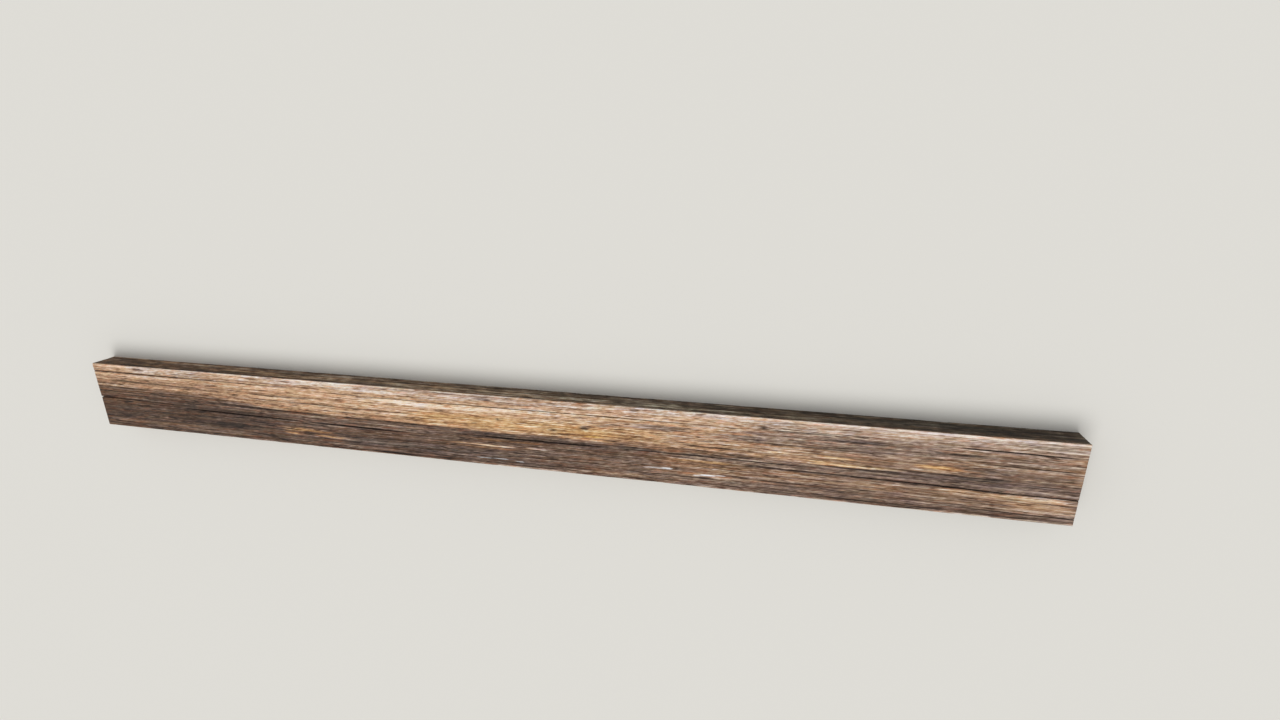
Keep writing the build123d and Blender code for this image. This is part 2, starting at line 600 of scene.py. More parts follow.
# %% [markdown]
# ## Joining it up
#
# The skin's faces run round the profile and close on themselves. The ends share the skin's last
# row, so nothing needs to be merged, and the whole is one closed surface facing outwards. The
# last row of an end meets the coarser underside in faces of five or more corners.

# %% Faces
SHARP_FROM = 50
N_ALONG, N_AROUND = S.shape
index = np.arange(N_ALONG * N_AROUND).reshape(N_ALONG, N_AROUND)


def quads(grid):
    """Faces of a grid of vertex numbers, wound so that rows x columns points outwards."""
    corners = (grid[:-1, :-1], grid[:-1, 1:], grid[1:, 1:], grid[1:, :-1])
    return np.stack([corner.ravel() for corner in corners], axis=1)


def end_faces(row, first_new):
    """Faces of one end: quads down to the last row, then fans to the underside's points."""
    top, near, under, far = (index[row, part] for part in columns)
    inner = first_new + np.arange(ROWS * (len(top) - 2)).reshape(ROWS, len(top) - 2)
    rows = np.concatenate([far[::-1, None], inner, near[:, None]], axis=1)
    made = quads(np.concatenate([top[None], rows])).tolist()
    under = under[::-1]
    for k in range(len(under) - 1):
        above = rows[-1, under_steps[k] : under_steps[k + 1] + 1]
        made.append([*above, under[k + 1], under[k]])
    return made if row == -1 else [corners[::-1] for corners in made]


skin = quads(np.concatenate([index, index[:, :1]], axis=1))
new = ends[0][0].size
faces = skin.tolist() + end_faces(0, index.size) + end_faces(-1, index.size + new)
vertex_x, vertex_y, vertex_z = (
    np.concatenate([full.ravel(), ends[0][axis].ravel(), ends[1][axis].ravel()])
    for axis, full in enumerate((X, Y, Z))
)
mesh = bpy.data.meshes.new("plank")
mesh.from_pydata(np.stack([vertex_x, vertex_y, vertex_z], axis=1) * MM, [], faces)
mesh.polygons.foreach_set("use_smooth", np.ones(len(mesh.polygons), bool))
mesh.set_sharp_from_angle(angle=np.radians(SHARP_FROM))
triangles = sum(len(corners) - 2 for corners in faces)
print(f"{len(mesh.vertices)} vertices, {triangles} triangles")

# %% [markdown]
# ## Where the colours lie
#
# Weather has coloured the face in bands that run with the grain: a bleached strip at the far
# arris, warm wood beside it, and dark wood beyond an edge that steps aside where the face has
# split. Over the bands lie patches and streaks, each given by where it starts and ends, how far
# across it lies, how wide it is, and what it adds to three measures: how light the wood is, how
# grey, and how golden. Gold below nothing is the blue-grey of slate. All are placed one by one.
# Some follow a streak. Others lift or lower a stretch, often 100 mm long
# or more, where a render's mean lightness differed from the photograph's. Long noise makes the
# edges of both kinds ragged.

# %% One patch of colour
class Patch(NamedTuple):
    """A streak of colour along the grain, in mm, and what it adds at its middle."""

    start: float
    end: float
    across: float
    width: float
    light: float
    grey: float = 0.0
    gold: float = 0.0


FADE_SHARE, FADE_MOST = 0.3, 60.0
CORE, RIM = 0.45, 1.35
# Size in mm, length and width of a cell, seed
RAGGED = ((5.0, 120, 8, 61), (3.0, 45, 3.6, 62))
ragged = ripples(RAGGED)
ACROSS = V + grain_shift(L, S)


def patch_share(patch, along, across, middle):
    """A soft-edged bar about its middle line: 1 inside, 0 beyond its rim and its two ends."""
    soft = min(FADE_MOST, FADE_SHARE * (patch.end - patch.start))
    ends_in = smooth_step(patch.start - soft / 2, patch.start + soft, along)
    ends_in = ends_in * (1 - smooth_step(patch.end - soft, patch.end + soft / 2, along))
    off = np.abs(across - middle) / (patch.width / 2)
    return ends_in * (1 - smooth_step(CORE, RIM, off))


def grain_middle(patch):
    """The grain line that a patch of the upper face follows, in mm from the far arris."""
    return line_under((patch.start + patch.end) / 2, patch.across) * WIDTH


def add_patches(tone, patches, along, across, middle):
    """Lightness, greyness and gold, with what each patch adds in its share of a place."""
    for patch in patches:
        share = patch_share(patch, along, across, middle(patch))
        tone = [measure + amount * share for measure, amount in zip(tone, patch[4:])]
    return tone


print(f"edges ragged by {ragged.min():.1f} to {ragged.max():.1f} mm")

# %% [markdown]
# The strip at the far arris is the most bleached. It is white in places, pinker at the left end
# and greyer towards the right, with a few blue-grey marks.

# %% Patches of the bleached strip
# Start, end, across and width in mm, then what the patch adds to light, grey and gold
# The narrow patches 2.5 to 4 mm from the far arris also raise or lower its painted highlight
STRIP_PATCHES = [
    (0, 95, 8, 16, 0.02, -0.5), (-20, 95, 3, 6, 0.12, -0.2), (0, 90, 19, 8, -0.05),
    (85, 240, 18.8, 4, -0.16, -0.2), (95, 255, 10, 9, 0.08, 0.15),
    (100, 132, 7.5, 5, -0.18, 0.3), (250, 420, 9, 14, -0.04, -0.2), (240, 600, 20, 9, 0.06),
    (700, 800, 19, 8, 0.05), (1490, 1610, 19, 8, 0.11), (1395, 1500, 2.5, 5, 0.06),
    (415, 520, 5, 7, 0.08, 0.1), (500, 710, 6, 9, 0.10, 0.15), (700, 805, 10, 9, 0.08, 0.15),
    (590, 900, 3, 6, -0.09), (400, 480, 3, 5, -0.06), (800, 1180, 3, 5, -0.05),
    (1300, 1390, 3, 5, -0.06), (600, 700, 10, 7, 0.05), (800, 890, 5, 8, -0.06),
    (900, 1010, 9, 16, -0.06, 0.1), (930, 970, 10, 4, -0.12, 0.5, -0.5),
    (695, 805, 3.5, 6, 0.0, 0.2, -0.45), (1000, 1150, 3.5, 7, -0.12, -0.2),
    (1395, 1500, 4, 8, 0.08), (1150, 1480, 13, 16, 0.03, -0.1),
    (1000, 1340, 20, 10, 0.12, -0.1, -0.1), (1100, 1300, 3, 5, -0.10, 0.1),
    (1090, 1200, 14, 12, 0.05), (1480, 2000, 10, 18, 0.03, 0.2),
    (1740, 1915, 9, 14, 0.09, 0.15), (1590, 1700, 9, 12, -0.05),
    (1895, 2010, 16, 16, -0.07, 0.1), (1780, 2010, 24, 10, 0.05, 0.4),
    (1380, 2010, 19, 9, 0.0, 0.25), (1880, 2010, 11, 14, 0.0, 0.3),
]
print(f"{len(STRIP_PATCHES)} patches in the bleached strip")

# %% [markdown]
# Beside it the wood has kept its warm brown. Some stretches are pale, a long one is golden, and
# the wood round the knots is bruised grey.

# %% Patches of the warm wood
WARM_PATCHES = [
    (0, 150, 26, 6, 0.15), (10, 160, 34, 7, -0.05), (165, 290, 40.5, 4, -0.16),
    (0, 110, 50, 3, 0.14), (48, 98, 55, 4, -0.12), (265, 335, 59, 3, 0.14),
    (200, 242, 64, 5, -0.08, -0.3), (400, 560, 70, 10, -0.07), (880, 1015, 30, 10, 0.09),
    (690, 810, 54, 11, 0.09), (890, 1110, 42, 10, 0.06), (800, 1100, 30, 9, 0.05),
    (1500, 1600, 42, 11, 0.07), (400, 700, 36, 24, 0.07), (640, 1200, 34, 22, 0.10),
    (400, 800, 55, 12, 0.07), (100, 200, 42, 10, -0.07), (110, 200, 31, 8, -0.04),
    (205, 500, 29, 10, 0.06), (300, 395, 43, 9, -0.05), (600, 800, 42, 9, -0.06),
    (600, 860, 54, 9, 0.05), (600, 690, 65, 8, -0.06), (800, 1000, 65, 9, 0.06),
    (728, 880, 33, 10, 0.14, 0.15), (780, 1330, 58, 28, 0.05, 0.0, 0.45),
    (1190, 1345, 58, 26, 0.0, 0.0, -0.3), (1100, 1205, 75, 2.6, 0.12, 0.0, 0.3),
    (1195, 1310, 73, 9, -0.06), (1110, 1600, 65, 9, -0.06), (1105, 1290, 74, 6, -0.08),
    (1000, 1095, 74, 5, 0.05), (1400, 1500, 74, 6, 0.06), (500, 600, 74, 6, -0.05),
    (1290, 1400, 42, 9, -0.05), (1400, 1500, 44, 8, 0.04), (1395, 1500, 30, 9, -0.06),
    (1800, 1900, 31, 9, 0.07), (1800, 2010, 65, 8, -0.06), (1690, 2010, 73.5, 5, 0.08),
    (990, 1100, 78, 14, 0.06), (1145, 1195, 68, 4, 0.06, 0.0, 0.6),
    (1146, 1182, 50, 6, -0.16, 0.8, -0.4), (1175, 1215, 47, 7, -0.05, 0.4, -0.2),
    (1195, 1240, 42, 7, -0.07, 0.4, -0.3), (1240, 1350, 37, 11, -0.09, 0.5, -0.3),
    (1378, 1505, 43, 11, -0.02, 0.5, -0.2), (1430, 2000, 36, 30, -0.06, 0.35, -0.1),
    (1508, 1600, 22, 4, -0.08, 0.3), (1600, 1705, 31, 6, -0.03, 0.4, -0.5),
    (1625, 1695, 45, 4, -0.03, 0.3, -0.5), (1820, 1965, 26, 5, -0.08, 0.3),
    (1080, 1300, 58, 20, -0.06, 0.0, 0.1), (1580, 1810, 44, 22, -0.08, 0.1),
    (1580, 2010, 66, 20, -0.13, 0.10), (1810, 2010, 64, 14, 0.0, 0.15, -0.4),
]
print(f"{len(WARM_PATCHES)} patches in the warm wood")

# %% [markdown]
# The grey of old wood is a thin skin. Where it has been rubbed off, golden wood shows. The dark
# half also has single pale streaks, a few fibres wide.

# %% Rubbed and pale streaks
GOLD_PATCHES = [
    (1500, 1552, 65, 4, 0.12, -0.3, 0.4), (1596, 1640, 65, 4, 0.12, -0.3, 0.4),
    (1740, 1815, 65, 6, 0.16, -0.4, 0.6), (1545, 1720, 76.5, 6.5, 0.16, -0.4, 0.35),
    (460, 578, 111.5, 5, 0.12, -0.5, 0.3), (480, 530, 117, 5, 0.16, -0.5, 0.4),
    (484, 524, 124, 4, 0.20, -0.5, 0.5), (500, 590, 114.5, 4, 0.10, -0.5, 0.5),
    (556, 636, 123, 4, 0.18, -0.5, 0.6), (878, 965, 106.5, 3.6, 0.25, -0.4, 0.15),
    (940, 1014, 107, 3.6, 0.40, -0.2, 0.05), (920, 1070, 93, 6, 0.07, -0.4, 0.35),
    (900, 1010, 112, 5, 0.06, -0.5, 0.2), (1318, 1440, 97, 5, 0.14, -0.5, 0.4),
]
PALE_PATCHES = [
    (162, 190, 97, 4, 0.14, 0.1), (590, 640, 99.5, 3, 0.16, 0.4),
    (1030, 1085, 105.5, 3.4, 0.50, -0.2), (1436, 1505, 85.3, 2.4, 0.22, 0.2),
    (640, 720, 127, 8, 0.08, 0.1), (690, 805, 105, 10, 0.07), (600, 900, 106, 9, 0.06),
    (700, 900, 83, 9, 0.07), (800, 1000, 94, 9, 0.08), (1300, 1400, 83, 7, 0.05),
    (500, 700, 139, 5, 0.05), (900, 1200, 139, 5, 0.05), (1495, 1610, 100, 18, 0.07),
    (1495, 1610, 107, 9, 0.08), (1400, 1600, 94, 8, 0.04), (1895, 2010, 94, 8, 0.07),
    (1895, 2010, 108, 6, 0.04), (1125, 1155, 141, 4, 0.12, -0.2),
    (1160, 1275, 138, 6, 0.15, -0.3, 0.1), (690, 1250, 141, 5, 0.03, 0.1),
]
print(f"{len(GOLD_PATCHES)} rubbed streaks and {len(PALE_PATCHES)} pale ones")

# %% [markdown]
# The dark half has bands that are darker still, and slate-grey patches with a blue cast. It is
# lighter near its own arris at the left, and pale at the right-hand corner.

# %% Dark bands and the near arris
DARK_PATCHES = [
    (20, 130, 86, 3, -0.02, -0.6), (-10, 110, 88, 18, 0.0, -0.45),
    (195, 410, 93, 10, 0.0, 0.0, -0.55), (590, 1010, 127, 28, 0.0, 0.0, -0.55),
    (1195, 1310, 83, 9, 0.0, 0.4, -0.65), (-10, 105, 100, 22, -0.07), (-10, 600, 74, 6, -0.05),
    (100, 500, 83, 8, -0.06), (400, 500, 108, 9, -0.05), (405, 480, 118, 9, -0.05),
    (498, 560, 106, 3, -0.10, 0.3), (600, 655, 118, 3.5, -0.14, 0.3),
    (596, 650, 129, 4, -0.14, 0.3), (600, 700, 130, 9, -0.06), (700, 900, 118, 9, -0.05),
    (1100, 1300, 94, 9, -0.05), (1095, 1200, 118, 9, -0.05), (1310, 1400, 117, 9, -0.08),
    (1600, 1700, 83, 8, -0.05), (290, 400, 130, 12, -0.07), (385, 470, 106, 12, -0.07),
    (690, 805, 118, 11, -0.08), (120, 300, 74, 10, -0.09, 0.0), (280, 430, 73, 5, -0.08, 0.4),
    (690, 960, 78.5, 5, -0.09, 0.5), (900, 1000, 83, 9, -0.08, 0.4, -0.5),
    (1000, 1180, 84, 8, -0.04, 0.4, -0.5), (1170, 1580, 81, 12, -0.06, -0.3),
    (1800, 2010, 76, 8, -0.10, 0.2), (900, 990, 72, 5, -0.08),
    (1640, 2000, 86, 15, -0.05, 0.4, -0.45), (15, 112, 116, 8, -0.08, 0.5),
    (195, 275, 116.5, 6, -0.09, 0.5), (300, 410, 119, 10, -0.09, 0.6, -0.65),
    (690, 905, 145, 6, -0.22, 0.1), (1480, 1790, 128, 14, -0.10, 0.3),
    (1500, 2000, 141, 10, -0.07, 0.0),
]
LOW_PATCHES = [
    (0, 420, 137, 16, 0.04, -0.1), (-10, 365, 132, 8, 0.06, -0.1), (170, 272, 129.5, 3.5, 0.09),
    (225, 365, 138.5, 4, 0.06, -0.1), (-10, 330, 144.5, 3.5, -0.09),
    (1290, 2010, 116, 40, 0.04, -0.45, 0.05), (1795, 1895, 108, 11, 0.16, -0.2, 0.12),
    (1880, 2010, 106, 11, 0.32, -0.3, 0.1), (1895, 2010, 136, 13, 0.12),
    (1690, 1890, 130, 11, -0.10), (1690, 1800, 139, 5, 0.05),
    (1800, 1900, 83, 10, -0.11, 0.0, -0.2), (1480, 2010, 118, 50, 0.02),
    (1380, 1408, 130.5, 4, -0.25, 0.5), (1412, 1440, 122, 3.5, -0.22, 0.2),
    (1500, 1625, 98.5, 3.5, -0.05), (1900, 2010, 122, 24, 0.08, -0.3, 0.1),
]
PATCHES = [
    Patch(*row)
    for table in (
        STRIP_PATCHES, WARM_PATCHES, GOLD_PATCHES, PALE_PATCHES, DARK_PATCHES, LOW_PATCHES
    )
    for row in table
]
print(f"{len(PATCHES)} patches on the upper face")

# %% [markdown]
# The patches of the long edges are placed by height over the underside. Last come the flecks,
# bright scraps of a chalky skin in the dark half. Only their light is used, as their strength.

# %% Patches of the long edges, and flecks
EDGE_PATCHES = [
    (-10, 2010, 48, 5, -0.08), (60, 640, 46, 8, -0.12), (150, 520, 46.5, 6, -0.10, 0.2),
    (400, 560, 34, 9, 0.09, -0.5), (60, 330, 22, 8, -0.07, 0.3), (40, 560, 30, 7, 0.06, -0.2),
    (1350, 2010, 25, 50, -0.04, -0.1), (-10, 480, 34, 14, -0.05, -0.3),
    (-10, 1100, 10, 14, 0.05, 0.2), (520, 1500, 33, 14, 0.06), (1150, 1600, 38, 14, 0.11, 0.2),
    (1150, 1400, 22, 10, 0.03), (1100, 1450, 46, 6, 0.12), (180, 300, 7, 9, -0.13),
    (780, 1400, 7, 10, -0.09), (1190, 1300, 7, 9, -0.08), (690, 900, 36, 8, -0.07),
    (200, 400, 27, 9, 0.12), (100, 200, 18, 9, 0.06), (280, 400, 40, 14, -0.10),
    (560, 1500, 22, 5, -0.06), (1590, 1900, 20, 22, 0.0, 0.0, -0.6),
    (790, 1950, 46, 8, 0.0, -0.4), (180, 600, 7, 9, -0.06, -0.2), (690, 1000, 7, 9, -0.07),
    (1400, 1700, 34, 16, 0.08), (1090, 1210, 36, 9, -0.09),
]
FLECKS = [
    (918, 970, 135.5, 4.5, 0.82), (956, 998, 134.3, 4.5, 1.0), (1002, 1032, 136.5, 4.5, 0.72),
    (1256, 1330, 118.0, 5.0, 0.70), (1300, 1328, 117.0, 4.5, 0.95),
    (1358, 1380, 127.0, 4.2, 0.85), (1370, 1410, 125.0, 6.5, 1.0),
    (1400, 1426, 122.8, 3.8, 0.82),
]
EDGE_PATCHES, FLECKS = ([Patch(*row) for row in table] for table in (EDGE_PATCHES, FLECKS))
print(f"{len(EDGE_PATCHES)} patches on the long edges, {len(FLECKS)} flecks")

# %% [markdown]
# The bands come before the patches. The dark wood's measures change slowly along the plank, and
# each band draws them towards its own. The warm wood ends at an edge that is kept as a few
# places and joined by straight lines, because on the real plank it follows one split after
# another.

# %% The bands of the upper face
class Band(NamedTuple):
    """What a band is, or what it adds: lightness, greyness and gold."""

    light: float
    grey: float
    gold: float


DEEP, WARM = Band(0.36, 0.62, 0.03), Band(0.66, 0.08, 0.08)
STRIP, BETWEEN, LEFT_DARK = Band(0.08, 0.45, -0.2), Band(0.06, -0.2, 0.0), -0.03
STRIP_EDGE, BETWEEN_EDGE, NOT_STRIP = (11, 20), (72, 90), (14, 24)
FACE_RAGGED, ENDS_RAGGED = 0.4, 6
# Along the plank: how far across the warm wood ends, and half the width of its soft edge
WARM_EDGE = {0: 49, 200: 54, 330: 59, 430: 70, 600: 75, 1000: 77, LENGTH: 78}
EDGE_SOFT = {0: 10, 300: 8, 450: 3, 1150: 3, 1300: 9, 1550: 3}


def by_place(table):
    """A value at every station, on straight lines between those of a table."""
    return np.interp(S, list(table), list(table.values()))


def changing(first, *changes):
    """first, plus each amount as it comes in between two places along the plank."""
    return sum((amount * smooth_step(low, high, S) for amount, low, high in changes), first)


def face_tone():
    """Lightness, greyness and gold of the upper face: three bands, then the patches."""
    place = ACROSS + ragged
    edge, soft = by_place(WARM_EDGE), by_place(EDGE_SOFT)
    warm = 1 - smooth_step(edge - soft, edge + soft, place)
    strip = 1 - smooth_step(*STRIP_EDGE, place)
    between = (1 - warm) * (1 - smooth_step(*BETWEEN_EDGE, place)) * changing(1, (-1, 800, 900))
    deep = changing(DEEP.light, (0.07, 300, 700), (0.08, 900, 1600))
    light = deep + (WARM.light - deep) * warm + STRIP.light * strip + BETWEEN.light * between
    cold = changing(DEEP.grey, (0.14, 150, 400), (-0.06, 900, 1500))
    grey = cold - (cold - WARM.grey) * warm + STRIP.grey * strip + BETWEEN.grey * between
    grey = grey + changing(0.0, (0.40, 1250, 1600)) * smooth_step(*NOT_STRIP, place)
    gold = DEEP.gold + STRIP.gold * strip + WARM.gold * warm * changing(0.0, (1, 250, 500))
    light = light + LEFT_DARK * changing(1, (-1, 250, 450))
    reach = S + ENDS_RAGGED * ragged, V + FACE_RAGGED * ragged
    return add_patches((light, grey, gold), PATCHES, *reach, grain_middle)


top_tone = face_tone()
print("upper face, mean light, grey and gold:", [round(part.mean(), 2) for part in top_tone])

# %% [markdown]
# The other faces see less sun. They are damp brown-grey wood, darker towards the right, and
# short noise mottles them, because a rough-sawn edge shows its torn fibres end on.

# %% The other faces
# Size, length and width of a cell, seed
SIDE_MOTTLE = ((0.24, 300, 8, 63), (0.20, 45, 8, 66), (0.24, 15, 8, 67))
SIDE_BANDS = ((0.4, 420, 26, 64),)
EDGE_RAGGED = 0.6


def side_tone():
    """Lightness, greyness and gold of the other faces: ripples of each, then the patches."""
    light = ripples(SIDE_MOTTLE, changing(0.47, (-0.09, 900, 1900)))
    grey = ripples(SIDE_BANDS, changing(0.10, (0.45, 100, 600), (0.4, 900, 1900)))
    height = flat_z + EDGE_RAGGED * ragged
    tone = light, grey, np.zeros(S.shape)
    return add_patches(tone, EDGE_PATCHES, S, height, lambda patch: patch.across)


edge_tone = side_tone()
print("other faces, mean light, grey and gold:", [round(part.mean(), 2) for part in edge_tone])

# %% [markdown]
# Water stands in a wide split and stains the wood blue-black beside it. The arrises of the
# upper face are rubbed pale and carry a painted highlight: a line all along the far one, dashes
# along the near one.

# %% Stains, and the rubbed arrises with their painted highlight
STAIN_FROM, STAIN_OVER, STAIN_REACH, STAIN_RAGGED = 1.6, 0.8, 1.3, 0.25
# The painted highlight of the arrises: its reach at the far and near one, how strong and how far in
# the near dashes are
FAR_RUB, NEAR_RUB, NEAR_MORE, NEAR_IN, DASHED = 1.8, 2.2, 1.4, 1.0, (0.3, 0.6)
STAIN_DARK, STAIN_GREY, RUB_HIGHLIGHT = -0.10, 0.5, 0.14
UNDER_ARRIS, OVER_ARRIS = 2.5, 0.5


def stain():
    """Share of blue-black wood: a bell across each wide split, as long as the split."""
    dark = np.zeros(S.shape)
    for split in CHECKS:
        off = np.abs(V + STAIN_RAGGED * ragged - split.line * WIDTH)
        share = split_share(split, S) * np.clip((split.mouth - STAIN_FROM) / STAIN_OVER, 0, 1)
        dark = np.maximum(dark, share * np.exp(-((off / (STAIN_REACH * split.mouth)) ** 2)))
    return np.where(on_top, dark, 0.0)


def rubbed_arris_highlight():
    """How far the two upper arrises are rubbed pale and painted with highlight: a bell about each,
    the near one broken.
    """
    far_off = np.minimum(G, AROUND - G)
    near_off = np.abs(G + NEAR_IN - girth[face == NEAR][0])
    dashes = NEAR_MORE * smooth_step(*DASHED, ripple(45, 3.6, 65))
    return np.exp(-((far_off / FAR_RUB) ** 2)) + dashes * np.exp(-((near_off / NEAR_RUB) ** 2))


uncarved = Z + carved * on_top
to_face = smooth_step(THICKNESS - UNDER_ARRIS, THICKNESS - OVER_ARRIS, uncarved)
tone = [side + (top - side) * to_face for side, top in zip(edge_tone, top_tone)]
dark = stain()
# The upper arrises are lightened by a painted highlight on the rubbed wood
tone[0] = tone[0] + STAIN_DARK * dark + RUB_HIGHLIGHT * rubbed_arris_highlight()
tone[1], tone[2] = tone[1] + STAIN_GREY * dark, tone[2] * (1 - dark)
print(f"stained: {100 * (dark > 0.5).mean():.1f}% of the vertices")

# %% [markdown]
# The fibres don't show equally everywhere. Pale wood has more contrast, the middle of the plank
# more short marks, and the edges are rougher than the face. The edges also stay damp, most of
# all at the right, and take a thin bloom of green. These three measures are kept as the wear.

# %% Flecks and wear
FLECK_RAGGED = 0.9
FACE_CONTRAST, PALE_MORE, PALE_FROM = 0.80, 0.14, (0.38, 0.6)
EDGE_CONTRAST, UNDER_LESS, UNDER_DRY = 0.5, 0.25, 0.4
EDGE_MARKS = 0.55

fleck = np.zeros(S.shape)
for patch in FLECKS:
    share = patch_share(patch, S, V + FLECK_RAGGED * ragged, grain_middle(patch))
    fleck = np.maximum(fleck, patch.light * share)
fleck = fleck * on_top
contrast = FACE_CONTRAST + PALE_MORE * smooth_step(*PALE_FROM, tone[0])
contrast = contrast + (EDGE_CONTRAST - UNDER_LESS * on_under) * (1 - to_face)
mottled = 0.66 + changing(0.0, (0.22, 950, 1100)) * changing(1, (-1, 1450, 1600))
mottled = mottled * (EDGE_MARKS + (1 - EDGE_MARKS) * to_face)
damp = (1 - to_face) * (1 - UNDER_DRY * on_under)
damp = damp * changing(0.45, (0.3, 100, 700), (0.5, 700, 1900))
wear = [contrast, mottled, damp]
print(f"contrast {contrast.min():.2f} to {contrast.max():.2f}, damp up to {damp.max():.2f}")

# %% [markdown]
# Each of these measures goes into the mesh as an attribute, with the grain's own coordinates
# (along, across and through the plank, in mm), so that the material can draw its streaks in a
# space where the grain is straight. The ends get theirs from where their points lie: bands of
# rings, bleached in places.

# %% The tone of the sawn ends
END_LIGHT, END_GREY, END_GOLD = 0.54, 0.75, 0.04
END_WEAR = (0.35, 0.3, 0.3)
BAND_RINGS, BAND_DEGREES, BAND_LIGHT = 0.45, 12, 0.22
PLACE_WIDE, PLACE_HIGH, PLACE_LIGHT, PLACE_GREY = 24, 20, 0.20, 0.6
ON_END_FROM = 0.3


def bearing(y, z):
    """Direction from the pith, in degrees from +Y towards +Z."""
    return np.degrees(np.arctan2(z - PITH_Z, y - PITH_Y))


def end_tone(s, y, z):
    """Lightness, greyness and gold of the sawn ends: bands of rings, and bleached places."""
    rings = BAND_RINGS * ring_number(s, y, z)
    bands = soft_noise(rings, bearing(y, z) / BAND_DEGREES, 71) - 0.5
    places = soft_noise((y + s) / PLACE_WIDE, z / PLACE_HIGH, 72) - 0.5
    light = END_LIGHT + BAND_LIGHT * bands + PLACE_LIGHT * places
    return light, END_GREY + PLACE_GREY * places, END_GOLD + 0 * light


on_end = np.broadcast_to(rim_inset[:, :1] > ON_END_FROM * END_ARRIS, S.shape).astype(float)
tone = [skin + (end - skin) * on_end for skin, end in zip(tone, end_tone(S, grain_y, Z))]
wear = [skin + (end - skin) * on_end for skin, end in zip(wear, END_WEAR)]
print(f"{int(on_end[:, 0].sum())} stations at the rims take the tone of the ends")

# %% Attributes
end_y, end_z = (np.concatenate([ends[0][axis].ravel(), ends[1][axis].ravel()]) for axis in (1, 2))
end_s = np.repeat([0.0, LENGTH], new)
ones = np.ones(end_y.size)


def attribute(name, kind, skin_values, end_values):
    """Writes one attribute: the skin's table of values, then the values of both ends."""
    rows = [
        np.stack([values.ravel() for values in part], axis=1)
        for part in (skin_values, end_values)
    ]
    data = mesh.attributes.new(name, kind, "POINT").data
    field = "value" if kind == "FLOAT" else "vector"
    data.foreach_set(field, np.concatenate(rows).astype(np.float32).ravel())


attribute("grain", "FLOAT_VECTOR", (S, WIDTH / 2 - grain_y, Z), (end_s, WIDTH / 2 - end_y, end_z))
attribute("tone", "FLOAT_VECTOR", tone, end_tone(end_s, end_y, end_z))
# The first of the marks is the painted shade of the splits; knots and flecks are the wood's own
attribute("marks", "FLOAT_VECTOR", (painted_split_shade, knot_dark, fleck), [0 * ones] * 3)
attribute("ring", "FLOAT", (ring,), (ring_number(end_s, end_y, end_z),))
attribute("ray", "FLOAT", (bearing(grain_y, Z),), (bearing(end_y, end_z),))
attribute("end", "FLOAT", (on_end,), (ones,))
attribute("wear", "FLOAT_VECTOR", wear, [value * ones for value in END_WEAR])
print("attributes:", [layer.name for layer in mesh.attributes if layer.domain == "POINT"])

# %% [markdown]
# The map for baking unrolls the plank. Its length fills the width of the picture, and its girth
# most of the height, so that the narrow streaks get four times as many pixels across the grain
# as along it. The two ends lie side by side in the strip that is left.

# %% The map
MARGIN, SKIN_FLOOR = 0.006, 0.108
END_U, END_WIDE, END_HIGH = (0.01, 0.51), 0.47, 0.092

u, v = np.meshgrid(along / LENGTH, np.append(girth, AROUND) / AROUND, indexing="ij")
u = MARGIN + (1 - 2 * MARGIN) * u
v = SKIN_FLOOR + (1 - MARGIN - SKIN_FLOOR) * v
corner_vertex = np.empty(len(mesh.loops), int)
mesh.loops.foreach_get("vertex_index", corner_vertex)
rest = corner_vertex[4 * len(skin) :]
start_u = np.where(vertex_x[rest] < 0, *END_U)
end_uv = (
    start_u + END_WIDE * (0.5 - vertex_y[rest] / WIDTH),
    MARGIN + END_HIGH * vertex_z[rest] / THICKNESS,
)
skin_uv = (quads(grid).ravel() for grid in (u, v))
uv = np.stack([np.concatenate([s, e]) for s, e in zip(skin_uv, end_uv)], axis=1)
mesh.uv_layers.new(name="OFBake").data.foreach_set("uv", uv.astype(np.float32).ravel())
print("map", uv.min(0).round(3), uv.max(0).round(3))

# %% [markdown]
# ## The finish: weathered softwood
#
# Softwood left outdoors, rough sawn and never planed or oiled. The sun breaks down the brown
# lignin and the rain washes it out, so the surface turns silver and grey, and stays warm brown
# where it is sheltered or rubbed. The eye gets no gloss from it, only a dry, fibrous surface.
# So one number runs the colour: how light the wood is here. It starts from the attribute, and
# noise in the grain's own space adds what the eye finds there, each at its real size along and
# across the grain: long streaks, threads of fibres, fibres, loose fibrils, short dashes, slanted
# marks where the saw tore the fibres, and the pores of the ends. Real fibres and pores are far
# thinner, and are drawn as coarse as they need to be to show.

# %% Noises in the grain's space
class Noise(NamedTuple):
    """Noise whose cells are length mm along the grain and width mm across it.

    offset keeps it apart from the others, and lean turns it off the grain, in degrees.
    """

    length: float
    width: float
    detail: float
    rough: float = 0.55
    offset: float = 0.0
    lean: float = 0.0


NOISES = {
    "streak": Noise(380, 6.0, 2.0, 0.6),
    "thread": Noise(170, 3.2, 2.5, 0.45, offset=5.0),
    "fibre": Noise(90, 1.0, 3.0, 0.6, offset=17.0),
    "fibril": Noise(34, 0.5, 2.0, 0.6, offset=131.0),
    "dash": Noise(30, 3.0, 1.0, offset=41.0),
    "blotch": Noise(130, 24, 3.0, offset=73.0),
    "line": Noise(520, 9.0, 3.0, offset=57.0),
    "hue": Noise(110, 5.0, 3.0, offset=29.0),
    "mottle": Noise(13, 2.7, 2.0, offset=63.0, lean=5.0),
    "tint": Noise(22, 3.2, 2.0, offset=113.0, lean=5.0),
    "cast": Noise(60, 8, 4.0, 0.65, offset=151.0, lean=5.0),
    "pore": Noise(1.4, 1.4, 2.0, offset=91.0),
}


